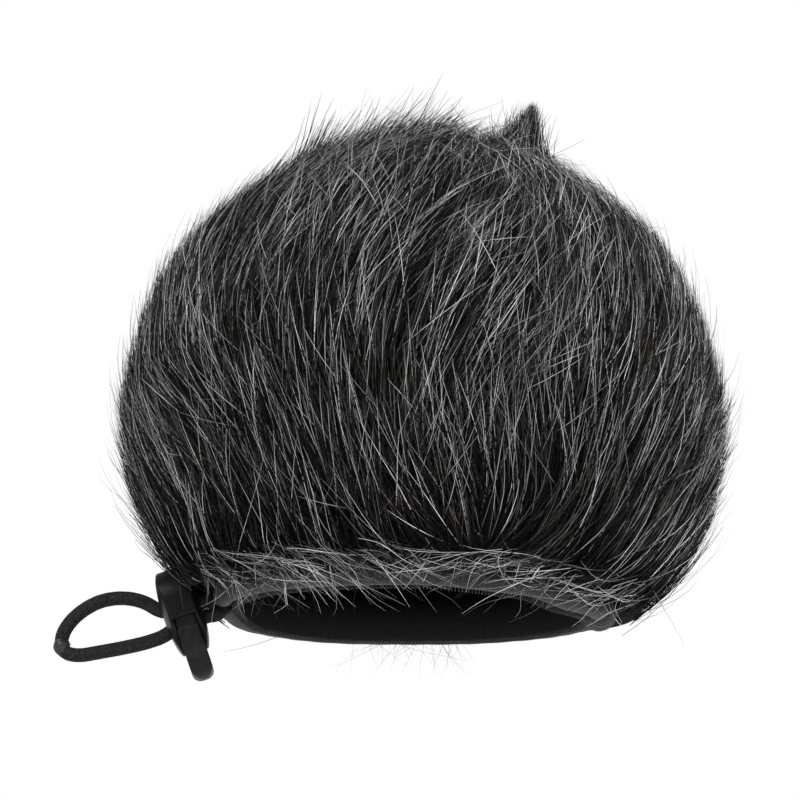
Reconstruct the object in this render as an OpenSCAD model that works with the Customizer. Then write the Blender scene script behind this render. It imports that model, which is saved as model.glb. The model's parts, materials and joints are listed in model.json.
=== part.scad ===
// Furry microphone windscreen: a sewn fur dome on a foam liner, with an elastic
// cuff, a drawcord in a rolled channel, and a spring-loaded cord lock.
// +Z points up along the opening's axis, -X points to the cord lock, and the
// origin is the centre of the opening, at the cuff's lower edge.

/* [Fur dome] */
// Diameter over the pile at the widest height
dome_d = 120; // [116:1:126]
// Height of the widest level above the opening
dome_z = 39; // [37:1:42]
// Rise of the crown above the widest level
crown_rise = 61; // [57:1:66]
// Lower half-height of the dome's outline, if it ran on below the opening
low_reach = 70; // [68:1:76]
// Thickness of the fur with its knitted backing
fur_t = 7; // [6:0.5:7.5]
// Radius of the gathered tuft at the crown
tuft_r = 6; // [5:0.5:8]

/* [Liner] */
// Thickness of the open-cell foam
foam_t = 5; // [4:0.5:5.5]
// Thickness of the mesh lining that faces the microphone
lining_t = 0.8; // [0.6:0.1:1]

/* [Cuff] */
// Bore of the relaxed opening
opening_d = 68; // [66:0.5:69]
// Thickness of the ribbed elastic band
cuff_t = 1.2; // [1:0.1:1.4]
// Height of the ribbed elastic band
cuff_h = 15; // [14.5:0.5:18]
// Wall of the rolled drawcord channel
channel_t = 0.65; // [0.6:0.05:0.8]

/* [Drawcord] */
// Diameter of the elastic cord
cord_d = 2.8; // [2.6:0.1:2.9]
// Angle left open in the channel on each side of the cord exit
exit_half = 7; // [6:0.5:8]

/* [Cord lock] */
// Thickness of the lock, along the cords
lock_t = 8; // [7.6:0.2:8.4]
// Width of the lock
lock_w = 14; // [13:0.5:15]
// Lean of the lock's long axis from the vertical
lock_lean = 19; // [16:1:21]
// Travel of the plunger when it is pressed
press_travel = 2; // [1.5:0.25:2]

/* [Hidden] */
$fn = 64;

fur_colour = [0.11, 0.1, 0.1];
cloth_colour = [0.06, 0.06, 0.06];
cord_colour = [0.09, 0.09, 0.09];
plastic_colour = [0.04, 0.04, 0.045];

dome_r = dome_d / 2;
foam_off = fur_t + foam_t;
lining_off = foam_off + lining_t;
seam_deg = 1.2;          // gap between two panels
seam_depth = 2;          // the sewn part of that gap, from the inside
layer_gap = 0.3;         // between the fur's backing and the foam
flange_z = 9.8;          // underside of the fur, above the lock
floor_z = 13;            // inside floor of the fur, and foot of the liner
cuff_r = opening_d / 2;
band_r = cuff_r + cuff_t;
cord_r = cord_d / 2;
channel_in = cord_r + 0.05;
channel_out = channel_in + channel_t;
channel_r = band_r + channel_out;
channel_z = channel_out;
wrap_out = channel_out + 0.4;
stitch_r = 0.3;
stitch_count = 72;
slack = 0.01;

// The cord lock's frame: the crossing of its long axis and the cords.
lock_pos = [-channel_r - 7.7, 0, -1.2];
strand_gap = cord_d + 0.2;
hole_r = cord_r + 0.35;
plunger_t = 4.3;
slot_t = plunger_t + 0.2;
body_low = -7.6;
body_high = 9.6;
plunger_low = -13.4;
plunger_high = 4.6;
window_high = strand_gap / 2 + cord_r + 0.05;
window_low = -strand_gap / 2 - cord_r - press_travel - 0.1;
slot_high = plunger_high + press_travel + 0.2;
side_wall = 1;           // closes the slot's two sides above mouth_z
mouth_z = -0.9;
pocket_w = lock_w - 2 * side_wall;
plunger_w = lock_w - 1;
stem_w = pocket_w - 0.4;
stem_high = body_high - side_wall - press_travel - 0.2;
shoulder_z = mouth_z - press_travel - 0.2;
spring_top = 8.5;
spring_r = 1.4;
lens_half = 14;          // half-length of the lens outline, if it ran to a point
side_t = 5.6;            // thickness at the lock's two narrow sides
lens_z = (body_low + body_high) / 2;
lens_r = (pow(lens_half, 2) + pow(lock_t / 2, 2)) / lock_t;
side_drop = (lock_t - side_t) / 2;
side_r = (pow(lock_w / 2, 2) + pow(side_drop, 2)) / (2 * side_drop);
flare = 3;               // the outer cheek's hole is longer, as the strands part there
spring_wire = 0.22;
spring_turns = 3;
spring_low = plunger_high + spring_wire + 0.05;

// The strands leave the channel at exit_pt; the leads run from lead_in, in
// front of the lock, to lead_out inside it, lead_half above and below its centre.
exit_pt = [-channel_r, 0, channel_z];
lead_half = strand_gap / 2;
lead_in = lock_t / 2 + 0.6;
lead_out = -plunger_t / 2 - 0.25;
// Route of the two strands from the channel to the lock, from exit_pt.
lead_front = [[-0.3, -3, 0.1], [-1.1, -1.5, 0], [-2.4, -0.5, -0.2]];
lead_back = [[-0.2, 3.2, -0.9], [-0.6, 1.9, -2.3], [-1.6, 0.6, -3.1]];
// Route of the loop beyond the lock, from the lock's centre: out along the
// upper strand and back along the lower one.
loop_route = [[-5.2, 0, 1.1], [-7.4, 0.2, 2.6], [-10.2, 0.4, 3.5],
    [-13.5, 0.6, 3.7], [-17, 0.7, 3], [-20.2, 0.7, 1.2], [-22.8, 0.4, -1.3],
    [-24.3, 0.1, -4.2], [-24, -0.2, -7.2], [-21, -0.4, -8.1],
    [-16.6, -0.5, -7.3], [-12.2, -0.4, -6.5], [-7.4, -0.2, -5.4],
    [-3.6, 0, -4]];
splice_at = [-24.1, -0.1, -6.1];

// ---- curves ----
function half_height(t, off) = (t > 0 ? crown_rise : low_reach) - off;
function wall_pt(off, t) =
    [(dome_r - off) * cos(t), dome_z + half_height(t, off) * sin(t)];
function t_at_low_z(off, z) = asin((z - dome_z) / half_height(-1, off));
function t_at_x(off, x) = acos(x / (dome_r - off));
function arc(off, t0, t1, n = 26) =
    [for (i = [0:n]) wall_pt(off, t0 + (t1 - t0) * i / n)];

// Point at angle a on the drawcord's circle
function ring_pt(a) = [channel_r * cos(a), channel_r * sin(a), channel_z];
// A point of the lock's frame, in the object's frame
function from_lock(p) = lock_pos + [
    p.x * cos(lock_lean) - p.z * sin(lock_lean), p.y,
    p.x * sin(lock_lean) + p.z * cos(lock_lean)];
// One pass of corner cutting, which rounds a route and keeps its ends
function rounded(p) = concat([p[0]],
    [for (i = [0:len(p) - 2]) each [p[i] * 0.75 + p[i + 1] * 0.25,
        p[i] * 0.25 + p[i + 1] * 0.75]], [p[len(p) - 1]]);

function unit(v) = v / norm(v);
function heading(p, i) =
    unit(p[min(i + 1, len(p) - 1)] - p[max(i - 1, 0)]);
// Ring of n points about p[i], square to the route; side is a fixed direction
function section(p, i, r, n, side) =
    let (d = heading(p, i), u = unit(cross(d, side)), v = cross(u, d))
    [for (k = [0:n - 1])
        p[i] + r * cos(360 * k / n) * u + r * sin(360 * k / n) * v];

// Closed tube of radius r along the points p
module tube(p, r, n = 8, side = [0, 1, 0]) {
    m = len(p);
    walls = [for (i = [0:m - 2]) for (k = [0:n - 1])
        let (a = i * n + k, b = i * n + (k + 1) % n)
        each [[a, b, b + n], [a, b + n, a + n]]];
    start = [for (k = [1:n - 2]) [0, k + 1, k]];
    end = [for (k = [1:n - 2]) [(m - 1) * n, (m - 1) * n + k, (m - 1) * n + k + 1]];
    polyhedron([for (i = [0:m - 1]) each section(p, i, r, n, side)],
        concat(walls, start, end));
}

// Part of a ring with a round section, from angle a0 to a1 on the drawcord's circle
module ring_tube(r, a0, a1) {
    rotate([0, 0, a0])
        rotate_extrude(angle = a1 - a0, $fn = 96)
            translate([channel_r, channel_z])
                circle(r, $fn = 32);
}

// A row of short stitches round the cuff, at radius r and height z
module stitch_row(r, z, long) {
    for (i = [0:stitch_count - 1])
        rotate([0, 0, (i + 0.5) * 360 / stitch_count])
            translate([r, 0, z])
                rotate([90, 0, 0])
                    cylinder(h = long, r = stitch_r, center = true, $fn = 16);
}

module place_lock() {
    translate(lock_pos)
        rotate([0, -lock_lean, 0])
            children();
}

// ---- fur, liner ----
// One quarter of the fur, from its hem at the cuff to the crown
module fur_panel(a) {
    color(fur_colour)
        rotate([0, 0, a - 45 + seam_deg / 2])
            rotate_extrude(angle = 90 - seam_deg, $fn = 96)
                polygon(concat(
                    arc(0, t_at_low_z(0, flange_z), t_at_x(0, tuft_r)),
                    arc(fur_t, t_at_x(fur_t, tuft_r), t_at_low_z(fur_t, floor_z)),
                    [[band_r, floor_z], [band_r, flange_z]]));
}

module fur_front() fur_panel(-90);
module fur_right() fur_panel(0);
module fur_back() fur_panel(90);
module fur_left() fur_panel(180);

// The fur drawn together where the four panels meet
module crown_gather() {
    color(fur_colour)
        rotate_extrude()
            polygon(concat(
                arc(fur_t, 90, t_at_x(fur_t, tuft_r), 4),
                arc(0, t_at_x(0, tuft_r), 86, 3),
                [[0, dome_z + crown_rise + 2]]));
}

// Four sewn seams between the panels
module seam_stitching() {
    color(cloth_colour)
        for (a = [-45:90:225])
            rotate([0, 0, a - seam_deg / 2])
                rotate_extrude(angle = seam_deg, $fn = 96)
                    polygon(concat(
                        arc(fur_t - seam_depth, t_at_low_z(fur_t - seam_depth, floor_z),
                            t_at_x(fur_t - seam_depth, tuft_r)),
                        arc(fur_t, t_at_x(fur_t, tuft_r), t_at_low_z(fur_t, floor_z))));
}

module dome_layer(off_out, off_in) {
    rotate_extrude(angle = 360, $fn = 96)
        polygon(concat(
            arc(off_out, t_at_low_z(off_out, floor_z), 90),
            arc(off_in, 90, t_at_low_z(off_in, floor_z))));
}

module foam_liner() {
    color([0.2, 0.2, 0.2])
        dome_layer(fur_t + layer_gap, foam_off);
}

module lining_mesh() {
    color(cloth_colour)
        dome_layer(foam_off, lining_off);
}

// ---- cuff ----
module cuff_band() {
    color(cloth_colour)
        difference() {
            cylinder(h = cuff_h, r = band_r, $fn = 96);
            translate([0, 0, -1])
                cylinder(h = cuff_h + 2, r = cuff_r, $fn = 96);
        }
}

// Stitches that hold the fur's inner edge to the band
module cuff_stitches() {
    color(cloth_colour)
        stitch_row(band_r + stitch_r + 0.1, flange_z - stitch_r - 0.4, 2);
}

// The cuff's edge, rolled over the drawcord, open at the cord exit
module drawcord_channel() {
    color(cloth_colour)
        difference() {
            ring_tube(channel_out, exit_half - 180, 180 - exit_half);
            ring_tube(channel_in, -exit_half - 185, 175 + exit_half);
        }
}

// Stitches that close the rolled edge, on the cuff's inner lip
module hem_stitches() {
    color(cloth_colour)
        stitch_row(band_r - cuff_t / 2, -stitch_r - 0.05, 1.6);
}

// The binding's tucked end, wrapped round the channel opposite the lock
module channel_end_wrap() {
    color(cloth_colour)
        difference() {
            ring_tube(wrap_out, -6, 6);
            ring_tube(channel_out, -8, 8);
            cylinder(h = 3 * cuff_h, r = band_r + slack, center = true, $fn = 96);
        }
}

// Reinforcement behind the gap where the two strands leave the channel
module cord_exit_tab() {
    color(cloth_colour)
        difference() {
            ring_tube(wrap_out, 180 - exit_half - 5, 180 + exit_half + 5);
            ring_tube(channel_out, 170 - exit_half, 190 + exit_half);
            cylinder(h = 3 * cuff_h, r = band_r + slack, center = true, $fn = 96);
            translate([-channel_r, 0, channel_z - 8 + 1.7])
                cube([12, 24, 16], center = true);
        }
}

// ---- drawcord ----
module drawcord_ring() {
    color(cord_colour)
        ring_tube(cord_r, exit_half - 180, 180 - exit_half);
}

function lead_points(ring_angle, route, z) = concat(
    [ring_pt(ring_angle)], [for (p = route) exit_pt + p],
    [from_lock([lead_in, 0, z]), from_lock([lead_out, 0, z])]);

module drawcord_leads() {
    color(cord_colour) {
        tube(rounded(lead_points(180 + exit_half, lead_front, lead_half)),
            cord_r, 8, [0.2, 0.1, 1]);
        tube(rounded(lead_points(180 - exit_half, lead_back, -lead_half)),
            cord_r, 8, [0.2, -0.1, 1]);
    }
}

module drawcord_loop() {
    color(cord_colour)
        tube(rounded(concat([from_lock([lead_out, 0, lead_half])],
            [for (p = loop_route) lock_pos + p],
            [from_lock([lead_out, 0, -lead_half])])), cord_r);
}

// Crimped sleeve over the cord's joint, at the end of the loop
module cord_splice() {
    color(plastic_colour)
        translate(lock_pos + splice_at)
            rotate([0, -18, 0])
                difference() {
                    cylinder(h = 2.6, r = cord_r + 0.6, center = true, $fn = 32);
                    cylinder(h = 4, r = cord_r + 0.2, center = true, $fn = 32);
                }
}

// ---- cord lock ----
// Flat plate across the cords, t thick, w wide, with fully round ends
module plate(t, w, low, high) {
    end_r = w / 2;
    for (z = [low + end_r, high - end_r])
        translate([0, 0, z])
            rotate([0, 90, 0])
                cylinder(h = t, r = end_r, center = true);
    translate([-t / 2, -w / 2, low + end_r])
        cube([t, w, high - low - w]);
}

// Hole for both strands, side by side along the lock
module strand_window(long, low, high) {
    for (z = [low + hole_r, high - hole_r])
        translate([0, 0, z])
            rotate([0, 90, 0])
                cylinder(h = long, r = hole_r, center = true);
    translate([-long / 2, -hole_r, low + hole_r])
        cube([long, 2 * hole_r, high - low - 2 * hole_r]);
}

// The lock's bulged form: shallow arcs that close towards its ends and its sides
module lens() {
    intersection_for (side = [-1, 1])
        intersection() {
            translate([side * (lens_r - lock_t / 2), 0, lens_z])
                rotate([90, 0, 0])
                    cylinder(h = 3 * lock_w, r = lens_r, center = true, $fn = 128);
            translate([side * (side_r - lock_t / 2), 0, lens_z])
                cylinder(h = 3 * lock_w, r = side_r, center = true, $fn = 128);
        }
}

// Slot for the plunger: open below, open on both sides up to mouth_z, and a
// pocket with a round top for the plunger's stem above that
module plunger_slot() {
    translate([-slot_t / 2, -lock_w, body_low - 5])
        cube([slot_t, 2 * lock_w, mouth_z - body_low + 5]);
    intersection() {
        plate(2 * lock_t, pocket_w, body_low - lock_w, body_high - side_wall);
        union() {
            translate([-slot_t / 2, -lock_w, body_low - 5])
                cube([slot_t, 2 * lock_w, slot_high - body_low + 5 - slot_t / 2]);
            translate([0, 0, slot_high - slot_t / 2])
                rotate([90, 0, 0])
                    cylinder(h = 2 * lock_w, r = slot_t / 2, center = true);
        }
    }
}

module lock_body() {
    color(plastic_colour)
        place_lock()
            difference() {
                intersection() {
                    plate(2 * lock_t, lock_w, body_low, body_high);
                    lens();
                }
                plunger_slot();
                strand_window(2 * lock_t, -lead_half - hole_r, lead_half + hole_r);
                translate([-lock_t, 0, 0])
                    strand_window(2 * lock_t - slot_t, -lead_half - flare, lead_half + flare);
                translate([0, 0, slot_high - slot_t / 2])
                    cylinder(h = spring_top - slot_high + slot_t / 2, r = spring_r + 0.4);
            }
}

// Tongue up to its two shoulders, and the narrower stem above them
module plunger_outline() {
    intersection() {
        plate(lock_t, plunger_w, plunger_low, plunger_high + plunger_w);
        translate([-lock_t, -lock_w, plunger_low - 1])
            cube([2 * lock_t, 2 * lock_w, shoulder_z - plunger_low + 1]);
    }
    plate(lock_t, stem_w, plunger_low + 1, stem_high);
}

module lock_plunger() {
    tip_r = plunger_t / 2;
    color(plastic_colour)
        place_lock()
            difference() {
                intersection() {
                    plunger_outline();
                    union() {
                        translate([-tip_r, -lock_w / 2, plunger_low + tip_r])
                            cube([plunger_t, lock_w, plunger_high - plunger_low - plunger_t]);
                        for (z = [plunger_low + tip_r, plunger_high - tip_r])
                            translate([0, 0, z])
                                rotate([90, 0, 0])
                                    cylinder(h = lock_w, r = tip_r, center = true);
                    }
                }
                strand_window(2 * lock_t, window_low, window_high + hole_r - cord_r - 0.3);
            }
}

function coil_pt(i, n) = [
    spring_r * cos(360 * spring_turns * i / n),
    spring_r * sin(360 * spring_turns * i / n),
    spring_low + (spring_top - 0.3 - spring_low) * i / n];

module lock_spring() {
    steps = 14 * spring_turns;
    color([0.7, 0.7, 0.72])
        place_lock()
            tube([for (i = [0:steps]) coil_pt(i, steps)], spring_wire, 6, [0, 0, 1]);
}

fur_front();
fur_right();
fur_back();
fur_left();
crown_gather();
seam_stitching();
foam_liner();
lining_mesh();
cuff_band();
cuff_stitches();
drawcord_channel();
hem_stitches();
channel_end_wrap();
cord_exit_tab();
drawcord_ring();
drawcord_leads();
drawcord_loop();
cord_splice();
lock_body();
lock_plunger();
lock_spring();
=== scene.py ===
"""Looks of the furry windscreen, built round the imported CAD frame. Metres, the CAD's own frame."""

import json
import math

import bpy
import numpy as np
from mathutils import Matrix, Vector


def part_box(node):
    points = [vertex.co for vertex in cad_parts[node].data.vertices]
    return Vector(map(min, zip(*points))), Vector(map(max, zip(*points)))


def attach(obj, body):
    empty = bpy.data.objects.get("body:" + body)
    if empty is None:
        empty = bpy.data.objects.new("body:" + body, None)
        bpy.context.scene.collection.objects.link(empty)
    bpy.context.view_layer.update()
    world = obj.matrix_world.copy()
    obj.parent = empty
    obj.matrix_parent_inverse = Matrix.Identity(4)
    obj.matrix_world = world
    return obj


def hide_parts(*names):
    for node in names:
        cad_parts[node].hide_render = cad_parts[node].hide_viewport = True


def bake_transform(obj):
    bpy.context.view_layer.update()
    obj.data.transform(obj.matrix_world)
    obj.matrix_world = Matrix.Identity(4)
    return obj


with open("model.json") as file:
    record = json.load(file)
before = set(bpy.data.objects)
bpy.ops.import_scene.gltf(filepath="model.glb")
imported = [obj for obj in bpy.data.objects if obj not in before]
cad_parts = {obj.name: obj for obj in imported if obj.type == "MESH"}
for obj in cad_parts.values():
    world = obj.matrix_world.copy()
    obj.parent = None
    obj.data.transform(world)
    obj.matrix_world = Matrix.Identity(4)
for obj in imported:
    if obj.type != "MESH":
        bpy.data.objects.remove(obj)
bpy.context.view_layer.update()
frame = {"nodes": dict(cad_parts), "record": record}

MM = 0.001
rng = np.random.default_rng(11)

# ---- driving sizes, in metres ----
DOME_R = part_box("fur_right")[1][0]           # radius over the pile
CROWN_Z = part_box("fur_front")[1][2]          # top of the pile
DOME_Z = 39 * MM                             # widest level
LOW_REACH = 70 * MM                          # lower half-height of the outline
FUR_T = 7 * MM                               # pile and backing
FOAM_T = 5 * MM                              # foam liner
ROOTS = FUR_T - 1 * MM                       # the hair's roots lie this deep in the pile
SAG = 4 * MM                                 # the skirt hangs this much lower at +X
CROWN_SAG = 5.5 * MM                         # the soft crown sinks this much
SHOULDER_PULL = 0.03                         # share by which the upper part is narrower
LEAN_X = 2.2 * MM                            # the dome sits this far to +X of its opening
HEM_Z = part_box("fur_left")[0][2]             # underside of the fur
BORE_R = frame["record"]["mounts"][0]["dims"]["r_mm"] * MM
BAND_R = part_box("cuff_band")[1][0]           # outside of the elastic band
FLANGE_R = BAND_R + 8 * MM                   # the fur's flat hem reaches out to here
PILE_LOW = 3 * MM                            # the pile reaches this low, round the cuff
LOWEST_HAIR = -8 * MM                        # no hair hangs lower
BAND_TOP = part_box("cuff_band")[1][2]
# The drawcord's channel: radius of its tube, then height and radius of its middle
CHANNEL_OUT = (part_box("drawcord_channel")[1][2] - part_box("drawcord_channel")[0][2]) / 2
CHANNEL_Z = CHANNEL_OUT
CHANNEL_R = BAND_R + CHANNEL_OUT
EDGE_R = CHANNEL_R + CHANNEL_OUT             # outside of the rolled edge
CORD_R = 1.4 * MM                            # radius of the drawcord
EXIT_DEG = 7                                 # half the gap in the channel at the cord's exit
LOCK_LEAN = math.radians(19)                 # tilt of the cord lock, and origin of its own frame
LOCK_POS = np.array([-CHANNEL_R - 7.7 * MM, 0, -1.2 * MM])
CENTRE = np.array([0, 0, DOME_Z])            # of the dome's outline
CROWN_RISE = CROWN_Z - DOME_Z
FLOOR_Z = -0.19
FLOOR_SIDE = 2.5                             # half the floor's side
VIEW_WIDTH = 160 * MM                        # width that the camera takes in at the object

PANELS = {"front": -90, "right": 0, "back": 90, "left": 180}


# ---- small helpers ----
def unit(v):
    return v / np.maximum(np.linalg.norm(v, axis=-1, keepdims=True), 1e-12)


def smooth_step(x):
    x = np.clip(x, 0, 1)
    return x * x * (3 - 2 * x)


def new_material(name, colour, roughness, **sockets):
    """Principled material with constants on its own sockets."""
    mat = bpy.data.materials.new(name)
    mat.use_nodes = True
    bsdf = mat.node_tree.nodes["Principled BSDF"]
    bsdf.inputs["Base Color"].default_value = (*colour, 1)
    bsdf.inputs["Roughness"].default_value = roughness
    for socket, value in sockets.items():
        bsdf.inputs[socket.replace("_", " ")].default_value = value
    return mat, mat.node_tree, bsdf


def add_grain(tree, bsdf, scale, strength, dark, light, detail=4, stretch=(1, 1, 1)):
    """Noise in the object's own space, for a colour that varies and a fine bump."""
    coords = tree.nodes.new("ShaderNodeTexCoord")
    mapping = tree.nodes.new("ShaderNodeMapping")
    mapping.inputs["Scale"].default_value = stretch
    noise = tree.nodes.new("ShaderNodeTexNoise")
    noise.inputs["Scale"].default_value = scale
    noise.inputs["Detail"].default_value = detail
    ramp = tree.nodes.new("ShaderNodeValToRGB")
    ramp.color_ramp.elements[0].color = (*dark, 1)
    ramp.color_ramp.elements[1].color = (*light, 1)
    ramp.color_ramp.elements[0].position = 0.35
    ramp.color_ramp.elements[1].position = 0.7
    bump = tree.nodes.new("ShaderNodeBump")
    bump.inputs["Strength"].default_value = strength
    bump.inputs["Distance"].default_value = 0.0001
    link = tree.links.new
    link(coords.outputs["Object"], mapping.inputs["Vector"])
    link(mapping.outputs["Vector"], noise.inputs["Vector"])
    link(noise.outputs["Fac"], ramp.inputs["Fac"])
    link(ramp.outputs["Color"], bsdf.inputs["Base Color"])
    link(noise.outputs["Fac"], bump.inputs["Height"])
    link(bump.outputs["Normal"], bsdf.inputs["Normal"])


def mesh_object(name, verts, faces, mats, body="windscreen", mat_indices=None):
    """Object from arrays; faces and mat_indices are matching lists. With no body, it is attached to none.
    """
    mesh = bpy.data.meshes.new(name)
    counts = [np.full(len(f), f.shape[1]) for f in faces]
    totals = np.concatenate(counts)
    corners = np.concatenate([f.ravel() for f in faces])
    mesh.vertices.add(len(verts))
    mesh.vertices.foreach_set("co", np.asarray(verts, np.float32).ravel())
    mesh.loops.add(len(corners))
    mesh.loops.foreach_set("vertex_index", corners.astype(np.int32))
    mesh.polygons.add(len(totals))
    starts = np.concatenate([[0], np.cumsum(totals)[:-1]])
    mesh.polygons.foreach_set("loop_start", starts.astype(np.int32))
    if mat_indices is not None:
        mesh.polygons.foreach_set("material_index", np.concatenate(mat_indices).astype(np.int32))
    mesh.polygons.foreach_set("use_smooth", np.ones(len(totals), bool))
    mesh.update(calc_edges=True)
    for mat in mats:
        mesh.materials.append(mat)
    obj = bpy.data.objects.new(name, mesh)
    bpy.context.scene.collection.objects.link(obj)
    if body:
        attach(obj, body)
    return obj


def grid_faces(rows, cols, close_cols=True, close_rows=False):
    """Quads over a rows x cols grid of points, closed round where asked."""
    r = np.arange(rows if close_rows else rows - 1)
    c = np.arange(cols if close_cols else cols - 1)
    i, j = np.meshgrid(r, c, indexing="ij")
    i2, j2 = (i + 1) % rows, (j + 1) % cols
    return np.stack([i * cols + j, i * cols + j2, i2 * cols + j2, i2 * cols + j], -1).reshape(-1, 4)


def fan(cols, start, flip):
    """Triangles that close a ring of cols points, which begins at index start."""
    k = np.arange(1, cols - 1)
    tri = np.stack([np.zeros_like(k), k, k + 1], -1) + start
    return tri[:, ::-1] if flip else tri


# ---- camera, light, stage ----
def set_camera():
    """Looks up from the front at the photographed angle, from below the opening's plane."""
    target = Vector((-2.2 * MM, 0, 42.4 * MM))
    elevation = math.radians(-11)
    distance = 0.9
    back = Vector((0, -math.cos(elevation), math.sin(elevation)))
    cam = bpy.data.cameras.new("camera")
    cam.sensor_width = 36
    cam.lens = cam.sensor_width * distance / VIEW_WIDTH
    cam.clip_start = 0.01
    obj = bpy.data.objects.new("camera", cam)
    obj.location = target + back * distance
    obj.rotation_euler = back.to_track_quat("Z", "Y").to_euler()
    bpy.context.scene.collection.objects.link(obj)
    bpy.context.scene.camera = obj


def area_light(name, place, aim, size, power):
    light = bpy.data.lights.new(name, "AREA")
    light.shape = "RECTANGLE"
    light.size, light.size_y = size
    light.energy = power
    obj = bpy.data.objects.new(name, light)
    obj.location = place
    obj.rotation_euler = (Vector(place) - Vector(aim)).to_track_quat("Z", "Y").to_euler()
    bpy.context.scene.collection.objects.link(obj)


def set_stage():
    world = bpy.data.worlds.new("world")
    world.use_nodes = True
    world.node_tree.nodes["Background"].inputs["Color"].default_value = (1, 1, 1, 1)
    world.node_tree.nodes["Background"].inputs["Strength"].default_value = 1.0
    bpy.context.scene.world = world
    bpy.context.scene.view_settings.view_transform = "Standard"
    middle = (0, 0, 0.04)
    area_light("key_light", (-0.35, -0.45, 0.55), middle, (0.35, 0.35), 5)
    area_light("fill_light", (0.55, -0.35, 0.2), middle, (0.2, 0.5), 3)
    area_light("low_light", (0.0, -0.5, -0.15), (0, 0, 0), (0.5, 0.08), 0.7)
    floor_mat, _, _ = new_material("floor_paper", (0.9, 0.9, 0.9), 0.8)
    mesh = bpy.data.meshes.new("floor")
    corners = [(x * FLOOR_SIDE, y * FLOOR_SIDE, FLOOR_Z) for x, y in ((-1, -1), (1, -1), (1, 1), (-1, 1))]
    mesh.from_pydata(corners, [], [(0, 1, 2, 3)])
    mesh.materials.append(floor_mat)
    floor = bpy.data.objects.new("floor", mesh)
    bpy.context.scene.collection.objects.link(floor)


# ---- the dome's shape ----
def surface(u, off):
    """Point of the dome's outline along unit direction u from its centre, off inside the pile's lie."""
    half = np.where(u[..., 2] > 0, CROWN_RISE, LOW_REACH)
    rho = 1 / np.sqrt((u[..., 0] ** 2 + u[..., 1] ** 2) / DOME_R**2 + (u[..., 2] / half) ** 2)
    return CENTRE + (rho - off)[..., None] * u


def eased(x, start, span):
    """From 0 at start to 1 a span further on, both in millimetres."""
    return smooth_step((x - start * MM) / (span * MM))


def lean(points):
    """The soft dome as it sits: leaning to +X over its cuff, with a sunk crown and a sagging skirt."""
    x, z = points[..., 0], points[..., 2]
    out = points.copy()
    out[..., :2] *= (1 - SHOULDER_PULL * eased(z, 38, 26))[..., None]
    out[..., 2] -= CROWN_SAG * eased(z, 61, 41)
    out[..., 0] += LEAN_X * eased(z, 1, 16)
    out[..., 2] -= SAG * (1 - eased(z, 3, 19)) * eased(x, 8, 38)
    return out


def profile(off, top_deg, z_low, n):
    """Points (r, z) on the dome's outline, off inside it, from the crown's side down to z_low."""
    low = math.asin((z_low - DOME_Z) / (LOW_REACH - off))
    t = np.linspace(math.radians(top_deg), low, n)
    half = np.where(t > 0, CROWN_RISE - off, LOW_REACH - off)
    return np.stack([(DOME_R - off) * np.cos(t), DOME_Z + half * np.sin(t)], -1)


def revolve(name, outline, a0, a1, steps, mats):
    """Closed solid from a closed (r, z) outline turned from a0 to a1 degrees."""
    full = abs(a1 - a0) >= 360
    angles = np.radians(np.linspace(a0, a1, steps, endpoint=not full))
    r = np.broadcast_to(outline[:, 0], (steps, len(outline)))
    verts = lean(np.stack([r * np.cos(angles)[:, None], r * np.sin(angles)[:, None],
                           np.broadcast_to(outline[:, 1], r.shape)], -1))
    n = len(outline)
    faces = [grid_faces(steps, n, True, full)]
    if not full:
        faces += [fan(n, 0, False), fan(n, (steps - 1) * n, True)]
    return mesh_object(name, verts.reshape(-1, 3), faces, mats)


# ---- hair ----
def direction(x, y, z):
    return unit(np.array([x, y, z], float))


# Directions from the dome's centre
SINK = direction(23, -9, 60)                 # the tuft, which the pile runs to
PARTINGS = [direction(12, -44, -37), direction(-8, 46, -36)]
CREST = direction(-7, -8, 60)                # the pile stands highest here, beside the tuft
# Slow waves in the pile's lie: their frequency, phase and push
WAVES = [(rng.normal(size=3) * k, rng.uniform(0, 6.28), unit(rng.normal(size=3)))
         for k in (2.5, 3, 4, 5, 7, 9)]
# Where the pile is combed off its flow: place, turn in degrees (anticlockwise seen from outside), and reach
TWISTS = [(direction(-2, -57, 8), -34, 0.36), (direction(-42, -38, -18), 18, 0.3),
          (direction(-33, -46, 14), -10, 0.3), (direction(24, -50, -22), 18, 0.28),
          (direction(-12, -48, 32), 16, 0.35), (direction(6, -58, -8), -22, 0.2),
          (direction(28, -44, -28), 20, 0.2), (direction(-1, -51, -30), -20, 0.14),
          (direction(-42, -41, 7), -14, 0.2)]


def towards(u, goal):
    """Tangent at u towards goal, and the angle between them."""
    cosine = np.clip(u @ goal, -1, 1)
    return unit(goal - cosine[:, None] * u), np.arccos(cosine)


def near(u, goal, reach):
    """From 1 at goal to 0 far from it, as a bell with that reach in radians."""
    return np.exp(-(np.arccos(np.clip(u @ goal, -1, 1)) / reach) ** 2)


def flow(u):
    """The way the pile lies at direction u: out of two partings at the cuff, up to the tuft."""
    way, angle = towards(u, SINK)
    total = way / (angle + 0.35)[:, None]
    for goal in PARTINGS:
        way, angle = towards(u, goal)
        total -= 0.62 * way / (angle + 0.3)[:, None]
    up = np.array([0, 0, 1.0]) - u[:, 2:3] * u
    total += 0.5 * up
    for k, phase, axis in WAVES:
        total += 0.2 * np.sin(u @ k + phase)[:, None] * axis
    way = unit(total - np.sum(total * u, -1, keepdims=True) * u)
    turn = np.zeros(len(u))
    for goal, degrees, reach in TWISTS:
        turn += math.radians(degrees) * near(u, goal, reach)
    return way * np.cos(turn)[:, None] + np.cross(u, way) * np.sin(turn)[:, None]


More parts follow.
